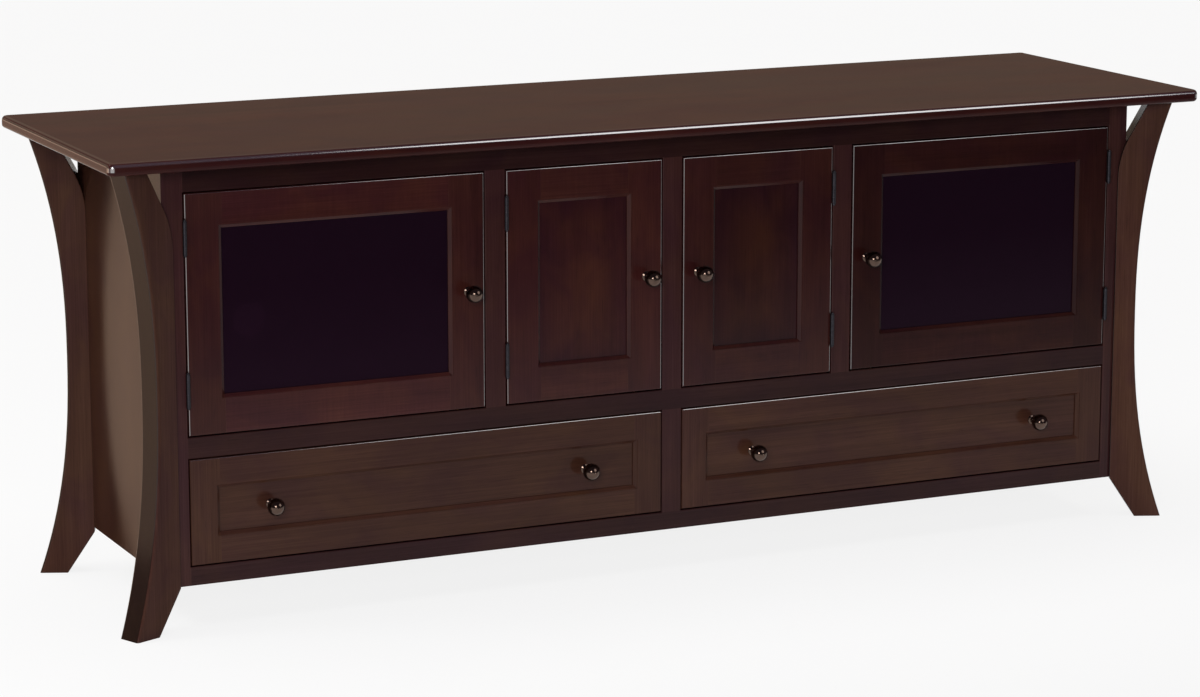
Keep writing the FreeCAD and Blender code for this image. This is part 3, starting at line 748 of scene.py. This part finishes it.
def screw_head(radius, rise, crown, sides):
    """Mesh of a screw head along +Z from z = 0: a low crown with a cross recess."""
    mesh = bmesh.new()
    rings = []
    profile = [(1.0, -0.6), (1.0, 0.35), (0.93, 0.75), (0.72, 1.0 - 0.25 * crown), (0.5, 1.0 - 0.08 * crown)]
    for across, up in profile:
        ring = []
        for i in range(sides):
            turn = 2 * math.pi * i / sides
            reach = radius * across
            ring.append(mesh.verts.new((reach * math.cos(turn), reach * math.sin(turn), rise * up)))
        rings.append(ring)
    for lower, upper in zip(rings[:-1], rings[1:]):
        for i in range(sides):
            j = (i + 1) % sides
            mesh.faces.new((lower[i], lower[j], upper[j], upper[i]))
    mesh.faces.new(list(reversed(rings[0])))
    arm, half = 0.5 * radius, 0.11 * radius
    cross = [
        (arm, -half), (arm, half), (half, half), (half, arm), (-half, arm), (-half, half),
        (-arm, half), (-arm, -half), (-half, -half), (-half, -arm), (half, -arm), (half, -half),
    ]
    rim = [mesh.verts.new((x, y, rise)) for x, y in cross]
    floor = [mesh.verts.new((x * 0.75, y * 0.75, rise * 0.25)) for x, y in cross]
    count = len(cross)
    for i in range(count):
        j = (i + 1) % count
        mesh.faces.new((rim[i], rim[j], floor[j], floor[i]))
    mesh.faces.new(floor)
    top_edges = [edge for edge in mesh.edges if edge.is_boundary]
    bmesh.ops.triangle_fill(mesh, edges=top_edges, use_beauty=True)
    bmesh.ops.recalc_face_normals(mesh, faces=mesh.faces)
    return mesh


def set_screws(name, body, material, places, diameter, head_form):
    """One piece made of screw heads at (point, direction) places, riding on a body."""
    rise, crown = head_form
    sides = bpy.context.scene.stand_fasteners.head_sides
    joined = bmesh.new()
    for number, (point, way) in enumerate(places):
        head = screw_head(diameter / 2, rise, crown, sides)
        turn = Matrix.Rotation(SCREW_TURN * number, 4, "Z")
        aim = Vector(way).to_track_quat("Z", "Y").to_matrix().to_4x4()
        head.transform(Matrix.Translation(point) @ aim @ turn)
        data = bpy.data.meshes.new("head")
        head.to_mesh(data)
        head.free()
        joined.from_mesh(data)
        bpy.data.meshes.remove(data)
    mesh = bpy.data.meshes.new(name)
    joined.to_mesh(mesh)
    joined.free()
    mesh.materials.append(material)
    piece = bpy.data.objects.new(name, mesh)
    bpy.context.scene.collection.objects.link(piece)
    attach(piece, body)
    return piece


def evenly(low, high, pitch):
    """Places from low to high, no further apart than pitch."""
    steps = max(1, math.ceil((high - low) / pitch))
    return [low + (high - low) * i / steps for i in range(steps + 1)]


# Operators


class STAND_OT_top(bpy.types.Operator):
    """Finish the overhanging top"""

    bl_idname = "stand.finish_top"
    bl_label = "Finish Top"

    def execute(self, context):
        finishes = context.scene.stand_finishes
        top = stained_wood("top_lengthwise", finishes, "X", TOP_GLOSS, tone=0.95, tint=WINE, edge=1.0)
        give(top, "top_panel")
        return {"FINISHED"}


class STAND_OT_legs(bpy.types.Operator):
    """Finish the four curved legs"""

    bl_idname = "stand.finish_legs"
    bl_label = "Finish Legs"

    def execute(self, context):
        finishes = context.scene.stand_finishes
        # The tone of each side's legs is painted light and shade
        for side, tone in LEG_PAINTED_LIGHT_TONES.items():
            legs = stained_wood(
                "legs_%s_upright" % side, finishes, "Z", LEG_GLOSS, tone=tone, tint=ROSE, flank=LEG_FLANK_SHADE_AND_COAT
            )
            give(legs, "leg_front_" + side, "leg_rear_" + side)
        return {"FINISHED"}


class STAND_OT_case(bpy.types.Operator):
    """Finish the sides, the face frame and the boards inside the case"""

    bl_idname = "stand.finish_case"
    bl_label = "Finish Case"

    def execute(self, context):
        finishes = context.scene.stand_finishes
        sides = stained_wood("sides_upright", finishes, "Z", CASE_GLOSS, tone=0.8)
        give(sides, "side_panel_left", "side_panel_right")
        face = {"gloss": CASE_GLOSS, "tint": PLUM}
        # The top rail's dark tone is painted shadow from the overhanging top; the tones of the rails and
        # stiles are painted light and shade too
        crown = stained_wood("face_top_rail_shaded_lengthwise", finishes, "X", tone=0.58, edge=0.55, **face)
        give(crown, "face_top_rail")
        rails = stained_wood("face_rails_lengthwise", finishes, "X", tone=0.77, edge=0.55, **face)
        give(rails, "face_mid_rail", "face_bottom_rail")
        stiles = stained_wood("face_stiles_upright", finishes, "Z", tone=1.06, edge=0.35, **face)
        give(stiles, "face_end_stiles", "face_mullions")
        level = stained_wood("inside_lengthwise", finishes, "X", INSIDE_GLOSS)
        give(level, "bottom_panel", "deck_panel", "top_stretchers", "outer_shelves", "centre_shelf")
        upright = stained_wood("inside_upright", finishes, "Z", INSIDE_GLOSS)
        give(upright, "bay_partitions", "drawer_partition", "back_panels")
        give(stained_wood("spacers_lengthwise", finishes, "Y", INSIDE_GLOSS), "slide_spacers")
        return {"FINISHED"}


class STAND_OT_doors(bpy.types.Operator):
    """Finish the stiles, rails, panels and glass of the four doors"""

    bl_idname = "stand.finish_doors"
    bl_label = "Finish Doors"

    def execute(self, context):
        finishes = context.scene.stand_finishes
        glass = smoked_glass("door_glass_smoked", finishes)
        frame_look = {"tint": WINE, "mottle": 0.5}
        # Each door's tones are painted light and shade, lighter or darker as light falls on that door
        for door, (stile_lit_tone, rail_lit_tone, panel_lit_tone, gloss) in DOOR_PAINTED_LIGHT_TONES.items():
            stiles = stained_wood(
                door + "_upright", finishes, "Z", gloss, tone=stile_lit_tone, edge=0.65, **frame_look
            )
            give(stiles, door + "_stiles")
            rails = stained_wood(
                door + "_lengthwise", finishes, "X", gloss, tone=rail_lit_tone, curl=0.22, edge=1.0, **frame_look
            )
            give(rails, door + "_rails")
            if door in PANEL_DOORS:
                # Where the painted shade at the panel's rim lies
                rim = (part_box(door + "_panel"), PANEL_SHADE_REACH)
                field = stained_wood(
                    door + "_field", finishes, "Z", gloss, tone=panel_lit_tone, tint=WINE, mottle=0.6, rim=rim
                )
                give(field, door + "_panel")
            else:
                give(glass, door + "_glass")
                ends = ("Z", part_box(door + "_glass_stops"), GLASS_STOP)
                stops = stained_wood(door + "_stops", finishes, "X", INSIDE_GLOSS, ends=ends)
                give(stops, door + "_glass_stops")
        return {"FINISHED"}


class STAND_OT_drawers(bpy.types.Operator):
    """Finish the drawer fronts and boxes"""

    bl_idname = "stand.finish_drawers"
    bl_label = "Finish Drawers"

    def execute(self, context):
        finishes = context.scene.stand_finishes
        # The tone of each drawer is painted light and shade
        for drawer, tone in DRAWER_PAINTED_LIGHT_TONES.items():
            look = {"gloss": DRAWER_GLOSS, "tone": tone}
            ends = ("Z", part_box(drawer + "_front_frame"), DRAWER_FRAME)
            front = stained_wood(
                drawer + "_frame", finishes, "X", ends=ends, edge=1.0, lowest=UPWARD, **look
            )
            give(front, drawer + "_front_frame")
            give(stained_wood(drawer + "_field", finishes, "X", **look), drawer + "_front_panel")
            walls = ("Y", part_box(drawer + "_box"), DRAWER_WALL)
            give(clear_maple(drawer + "_maple", finishes, "X", walls), drawer + "_box")
        return {"FINISHED"}


class STAND_OT_hardware(bpy.types.Operator):
    """Finish the knobs, hinges, slides, shelf pins and catches"""

    bl_idname = "stand.finish_hardware"
    bl_label = "Finish Hardware"

    def execute(self, context):
        finishes = context.scene.stand_finishes
        bronze = worked_metal("knob_dark_bronze", finishes.knob_bronze, 0.14, 0.15, coat=0.3)
        pewter = worked_metal("hinge_pewter", finishes.hinge_pewter, 0.34, 0.15, brushed="Z")
        zinc = worked_metal("slide_zinc", finishes.slide_zinc, 0.36, 0.2, brushed="Y")
        steel = worked_metal("pin_steel", finishes.slide_zinc, 0.3, 0.2, brushed="X")
        brass = worked_metal("catch_brass", finishes.catch_brass, 0.25, 0.2)
        give(bronze, *[door + "_knob" for door in DOORS], *[drawer + "_knobs" for drawer in DRAWERS])
        give(pewter, "hinge_frame_leaves", "hinge_pins", *[door + "_hinge_leaves" for door in DOORS])
        give(zinc, "slide_cabinet_members", *[drawer + "_slide_members" for drawer in DRAWERS])
        give(zinc, "slide_middle_members_left", "slide_middle_members_right")
        give(steel, "shelf_pins")
        give(brass, "bullet_catches")
        return {"FINISHED"}


class STAND_OT_hinge_screws(bpy.types.Operator):
    """Set three countersunk screws in every hinge leaf"""

    bl_idname = "stand.hinge_screws"
    bl_label = "Set Hinge Screws"

    def execute(self, context):
        size = context.scene.stand_fasteners.hinge_screw
        metal = bpy.data.materials["hinge_pewter"]
        fixed = []
        for door in DOORS:
            low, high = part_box(door + "_hinge_leaves")
            side = -1 if door.endswith("left") else 1
            stile_low, stile_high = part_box(door + "_stiles")
            gap_x = (stile_low.x if side < 0 else stile_high.x) + side * DOOR_GAP_HALF
            heights = [low.z + LEAF_HALF, high.z - LEAF_HALF]
            moving = []
            for middle in heights:
                for rise, depth in LEAF_SCREWS:
                    y = high.y - LEAF_DEPTH + depth
                    z = middle + rise
                    moving.append((Vector((gap_x - side * LEAF_GAP_HALF, y, z)), (side, 0, 0)))
                    fixed.append((Vector((gap_x + side * LEAF_GAP_HALF, y, z)), (-side, 0, 0)))
            set_screws(door + "_hinge_screws", door, metal, moving, size, HINGE_HEAD)
        set_screws("frame_hinge_screws", "cabinet", metal, fixed, size, HINGE_HEAD)
        return {"FINISHED"}


class STAND_OT_knob_screws(bpy.types.Operator):
    """Set the machine screws behind the knobs and the screws that hold the drawer fronts"""

    bl_idname = "stand.knob_screws"
    bl_label = "Set Knob Screws"

    def execute(self, context):
        fasteners = context.scene.stand_fasteners
        metal = bpy.data.materials["pin_steel"]
        size = fasteners.knob_screw
        for door in DOORS:
            low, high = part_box(door + "_knob")
            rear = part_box(door + "_stiles")[1].y
            places = [(Vector(((low.x + high.x) / 2, rear, (low.z + high.z) / 2)), (0, 1, 0))]
            set_screws(door + "_knob_screw", door, metal, places, size, KNOB_HEAD)
        for drawer in DRAWERS:
            low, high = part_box(drawer + "_knobs")
            box_low, box_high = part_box(drawer + "_box")
            inner = box_low.y + DRAWER_WALL
            middle = (low.z + high.z) / 2
            half = (high.z - low.z) / 2
            knobs = [(Vector((x, inner, middle)), (0, 1, 0)) for x in (low.x + half, high.x - half)]
            set_screws(drawer + "_knob_screws", drawer, metal, knobs, size, KNOB_HEAD)
            fixings = []
            for x in (box_low.x + FRONT_SCREW_SIDE, box_high.x - FRONT_SCREW_SIDE):
                for z in (box_low.z + FRONT_SCREW_LOW, box_high.z - FRONT_SCREW_HIGH):
                    fixings.append((Vector((x, inner, z)), (0, 1, 0)))
            front_size = fasteners.front_screw
            set_screws(
                drawer + "_front_screws", drawer, metal, fixings, front_size, FRONT_HEAD
            )
        return {"FINISHED"}


class STAND_OT_back_screws(bpy.types.Operator):
    """Set the screws round the back boards"""

    bl_idname = "stand.back_screws"
    bl_label = "Set Back Screws"

    def execute(self, context):
        fasteners = context.scene.stand_fasteners
        metal = bpy.data.materials["pin_steel"]
        low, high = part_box("back_panels")
        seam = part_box("bay_partitions")[1].x - PARTITION / 2
        steps = (-BACK_SCREW_SEAM, BACK_SCREW_SEAM)
        beside_seams = [middle + step for middle in (-seam, seam) for step in steps]
        columns = [low.x + BACK_SCREW_SIDE, *beside_seams, high.x - BACK_SCREW_SIDE]
        rows = evenly(low.z + BACK_SCREW_END, high.z - BACK_SCREW_END, fasteners.back_screw_pitch)
        places = [(Vector((x, high.y, z)), (0, 1, 0)) for x in columns for z in rows]
        for x0, x1 in zip(columns[0::2], columns[1::2]):
            for x in evenly(x0, x1, fasteners.back_screw_pitch)[1:-1]:
                places += [(Vector((x, high.y, z)), (0, 1, 0)) for z in (rows[0], rows[-1])]
        size = fasteners.back_screw
        set_screws("back_screws", "cabinet", metal, places, size, BACK_HEAD)
        return {"FINISHED"}


class STAND_OT_studio(bpy.types.Operator):
    """Set up the floor, lamps, room and camera"""

    bl_idname = "stand.studio"
    bl_label = "Set Up Studio"

    def execute(self, context):
        studio = context.scene.stand_studio
        self.floor(studio)
        self.room(studio, context.scene)
        self.sky(studio)
        self.lamp("left_lamp", studio.left_power, *LEFT_LAMP)
        self.lamp("key_lamp", studio.key_power, *KEY_LAMP)
        brow = self.lamp("brow_lamp", studio.brow_power, *BROW_LAMP)
        brow.visible_diffuse = False
        self.camera(studio, context.scene)
        context.scene.view_settings.view_transform = "Standard"
        return {"FINISHED"}

    def floor(self, studio):
        """Pale floor, white to the camera, lit in some zones to reflections, with painted shade towards the
        front.
        """
        material = bpy.data.materials.new("studio_floor")
        material.use_nodes = True
        tree = material.node_tree
        tree.nodes.clear()
        place = put(tree, "ShaderNodeTexCoord").outputs["Object"]
        x, y, _ = put(tree, "ShaderNodeSeparateXYZ", {0: place}).outputs
        pool = math_node(tree, "MULTIPLY", spread(tree, x, *NEAR_POOL_X), spread(tree, y, *NEAR_POOL_Y))
        slant = math_node(tree, "MULTIPLY", math_node(tree, "ADD", y, LEFT_POOL_START), LEFT_POOL_SLOPE)
        pool = math_node(tree, "MAXIMUM", pool, spread(tree, math_node(tree, "ADD", x, slant), *LEFT_POOL))
        corner = math_node(tree, "MULTIPLY", spread(tree, x, *SHEEN_X), spread(tree, y, *SHEEN_Y))
        speckle = spread(tree, noise(tree, place, 3.0, scale=3.0), 0.2, 0.8, 0.97, 1.0)
        grey = math_node(tree, "MULTIPLY", speckle, studio.floor_grey)
        # Painted shade: the floor's paint darkens towards the front, as if the light fell off there
        grey = math_node(tree, "MULTIPLY", grey, spread(tree, y, *FLOOR_SHADE_Y, *FLOOR_SHADE))
        paint = put(tree, "ShaderNodeBsdfDiffuse", {"Color": grey})
        path = put(tree, "ShaderNodeLightPath")
        glossy = path.outputs["Is Glossy Ray"]
        sheen = math_node(tree, "MULTIPLY", glossy, corner)
        light = mix_colour(tree, sheen, rgba(WHITE), rgba(studio.floor_sheen))
        glow = put(tree, "ShaderNodeEmission", {"Color": light})
        mirrored = math_node(tree, "MULTIPLY", glossy, math_node(tree, "MAXIMUM", pool, corner))
        seen = math_node(tree, "ADD", path.outputs["Is Camera Ray"], mirrored)
        seen = math_node(tree, "ADD", seen, path.outputs["Is Transmission Ray"], clamp=True)
        share = math_node(tree, "MULTIPLY", seen, spread(tree, sheen, 0.0, 1.0, GLOW_SHARE, 1.0))
        surface = put(tree, "ShaderNodeMixShader", {0: share, 1: paint.outputs[0], 2: glow.outputs[0]})
        put(tree, "ShaderNodeOutputMaterial", {"Surface": surface.outputs[0]})
        mesh = bpy.data.meshes.new("studio_floor")
        reach = FLOOR_REACH
        corners = [(-reach, -reach, 0), (reach, -reach, 0), (reach, reach, 0), (-reach, reach, 0)]
        mesh.from_pydata(corners, [], [(0, 1, 2, 3)])
        mesh.materials.append(material)
        sheet = bpy.data.objects.new("studio_floor", mesh)
        bpy.context.scene.collection.objects.link(sheet)

    def room(self, studio, scene):
        """Dim room round the stand, warmer behind than in front."""
        world = bpy.data.worlds.new("dim_room")
        world.use_nodes = True
        tree = world.node_tree
        way = put(tree, "ShaderNodeTexCoord").outputs["Generated"]
        y = put(tree, "ShaderNodeSeparateXYZ", {0: way}).outputs[1]
        shade = mix_colour(tree, spread(tree, y, -0.5, 0.5), rgba(studio.room_front), rgba(studio.room_back))
        tree.links.new(shade, tree.nodes["Background"].inputs["Color"])
        scene.world = world

    def sky(self, studio):
        """Wide soft light from above."""
        data = bpy.data.lights.new("overhead_light", "SUN")
        data.energy = studio.overhead_strength
        data.angle = OVERHEAD_SPREAD
        light = bpy.data.objects.new("overhead_light", data)
        light.rotation_euler = OVERHEAD_LEAN
        light.visible_glossy = False
        bpy.context.scene.collection.objects.link(light)

    def lamp(self, name, power, size, place, target):
        """One round lamp that faces a point."""
        data = bpy.data.lights.new(name, "AREA")
        data.shape = "DISK"
        data.size = size
        data.energy = power
        lamp = bpy.data.objects.new(name, data)
        lamp.location = place
        lamp.rotation_euler = (Vector(target) - Vector(place)).to_track_quat("-Z", "Y").to_euler()
        lamp.visible_camera = False
        bpy.context.scene.collection.objects.link(lamp)
        return lamp

    def camera(self, studio, scene):
        """Camera at the place and tilt of the studio settings."""
        data = bpy.data.cameras.new("photo_camera")
        data.sensor_width = SENSOR_WIDTH
        data.lens = studio.camera_lens
        camera = bpy.data.objects.new("photo_camera", data)
        camera.location = studio.camera_place
        camera.rotation_euler = (math.pi / 2 - studio.camera_tilt, 0.0, -studio.camera_turn)
        scene.collection.objects.link(camera)
        scene.camera = camera


OPERATORS = (
    STAND_OT_top,
    STAND_OT_legs,
    STAND_OT_case,
    STAND_OT_doors,
    STAND_OT_drawers,
    STAND_OT_hardware,
    STAND_OT_hinge_screws,
    STAND_OT_knob_screws,
    STAND_OT_back_screws,
    STAND_OT_studio,
)


class STAND_PT_panel(bpy.types.Panel):
    """Steps that dress the media stand, in order"""

    bl_idname = "STAND_PT_panel"
    bl_label = "Media Stand"
    bl_space_type = "VIEW_3D"
    bl_region_type = "UI"
    bl_category = "Media Stand"

    def draw(self, context):
        for step in OPERATORS:
            self.layout.operator(step.bl_idname)
        for group in ("stand_finishes", "stand_fasteners", "stand_studio"):
            settings = getattr(context.scene, group)
            box = self.layout.box()
            for key in settings.__annotations__:
                box.prop(settings, key)


CLASSES = (StandFinishes, StandFasteners, StandStudio) + OPERATORS + (STAND_PT_panel,)


def register():
    for each in CLASSES:
        bpy.utils.register_class(each)
    bpy.types.Scene.stand_finishes = PointerProperty(type=StandFinishes)
    bpy.types.Scene.stand_fasteners = PointerProperty(type=StandFasteners)
    bpy.types.Scene.stand_studio = PointerProperty(type=StandStudio)


def unregister():
    del bpy.types.Scene.stand_studio
    del bpy.types.Scene.stand_fasteners
    del bpy.types.Scene.stand_finishes
    for each in reversed(CLASSES):
        bpy.utils.unregister_class(each)


def main():
    register()
    bpy.ops.stand.studio()
    bpy.ops.stand.finish_top()
    bpy.ops.stand.finish_legs()
    bpy.ops.stand.finish_case()
    bpy.ops.stand.finish_doors()
    bpy.ops.stand.finish_drawers()
    bpy.ops.stand.finish_hardware()
    bpy.ops.stand.hinge_screws()
    bpy.ops.stand.knob_screws()
    bpy.ops.stand.back_screws()
    bpy.context.view_layer.update()


if __name__ == "__main__":
    main()
